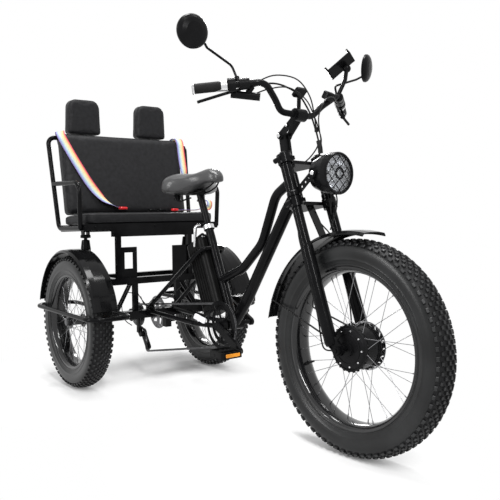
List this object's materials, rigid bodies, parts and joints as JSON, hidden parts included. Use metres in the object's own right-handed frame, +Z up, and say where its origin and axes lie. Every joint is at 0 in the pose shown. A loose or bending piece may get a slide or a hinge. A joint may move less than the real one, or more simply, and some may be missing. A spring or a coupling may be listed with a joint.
{
  "type": "electric fat tire passenger tricycle",
  "caption": "Pedal-assist tricycle with fat tyres, a front hub motor, a rider's saddle and a two-seat passenger bench over the rear axle.",
  "frame": {"origin": "on the ground under the middle of the whole machine", "axes": "+X forward, +Y to the rider's left, +Z up"},
  "size_m": [2.06, 0.9341, 1.4014],
  "materials": {
    "axle_steel": "dark steel",
    "battery_case": "satin black plastic",
    "bench_fabric": "dark charcoal fabric",
    "black_parts": "satin black anodised",
    "black_steel": "satin black",
    "cable_cover": "black cable cover",
    "chain_steel": "oiled steel",
    "fender_plastic": "gloss black plastic",
    "fork_paint": "gloss black paint",
    "frame_paint": "gloss black paint",
    "grip_rubber": "black rubber",
    "lamp_glass": "clear glass",
    "lamp_shell": "satin black",
    "motor_paint": "satin black",
    "pedal_plastic": "black plastic",
    "rim_paint": "satin black",
    "rotor_steel": "brushed steel",
    "saddle_cover": "black synthetic leather",
    "tyre": "matt black rubber"
  },
  "bodies": {
    "frame": {"front_frame": "frame_paint", "rear_frame": "frame_paint", "side_bars": "frame_paint", "stub_axle": "black_steel", "battery": "battery_case", "seat_post": "black_steel", "saddle": "saddle_cover", "bench_mounts": "frame_paint", "bench_frame": "frame_paint", "seat_cushion": "bench_fabric", "back_cushion": "bench_fabric", "headrests": "bench_fabric", "fender_rear_right": "fender_plastic", "fender_rear_left": "fender_plastic", "chain": "chain_steel", "derailleur": "black_parts", "rear_caliper": "black_parts"},
    "steering": {"fork_crowns": "fork_paint", "fork_legs": "fork_paint", "front_axle": "black_steel", "front_fender": "fender_plastic", "stem": "black_parts", "handlebar": "black_parts", "grips": "grip_rubber", "brake_levers": "black_parts", "mirror_right": "black_parts", "mirror_left": "black_parts", "headlight": "lamp_shell", "headlight_lens": "lamp_glass", "headlight_bracket": "black_steel", "bar_controls": "black_parts", "front_caliper": "black_parts", "cables": "cable_cover"},
    "front_wheel": {"front_tyre": "tyre", "front_rim": "rim_paint", "hub_motor": "motor_paint", "front_rotor": "rotor_steel"},
    "rear_right_wheel": {"tyre_rear_right": "tyre", "wheel_rear_right": "rim_paint", "rear_axle": "axle_steel"},
    "rear_left_wheel": {"tyre_rear_left": "tyre", "wheel_rear_left": "rim_paint"},
    "crank": {"crankset": "black_parts"},
    "right_pedal": {"pedal_right": "pedal_plastic"},
    "left_pedal": {"pedal_left": "pedal_plastic"}
  },
  "joints": [
    {"name": "steering", "type": "hinge", "parent": "frame", "child": "steering", "pos_m": [0.59353, 0, 0.31758], "axis": [-0.3551, 0, 0.9348], "range_deg": [-48.5, 41.5]},
    {"name": "front_wheel_spin", "type": "hinge", "parent": "steering", "child": "front_wheel", "pos_m": [0.67937, 0.00562, 0.35019], "axis": [-0.0571, 0.9981, -0.0217], "continuous": true},
    {"name": "rear_right_wheel_spin", "type": "hinge", "parent": "frame", "child": "rear_right_wheel", "pos_m": [-0.70247, -0.359, 0.29825], "axis": [0, 1, 0], "continuous": true},
    {"name": "rear_left_wheel_spin", "type": "hinge", "parent": "frame", "child": "rear_left_wheel", "pos_m": [-0.70247, 0.359, 0.29825], "axis": [0, 1, 0], "continuous": true},
    {"name": "crank_spin", "type": "hinge", "parent": "frame", "child": "crank", "pos_m": [0.01554, 0, 0.34125], "axis": [0, 1, 0], "continuous": true},
    {"name": "right_pedal_spin", "type": "hinge", "parent": "crank", "child": "right_pedal", "pos_m": [0.16833, -0.15, 0.26673], "axis": [0, 1, 0], "continuous": true},
    {"name": "left_pedal_spin", "type": "hinge", "parent": "crank", "child": "left_pedal", "pos_m": [-0.13726, 0.15, 0.41577], "axis": [0, 1, 0], "continuous": true}
  ]
}
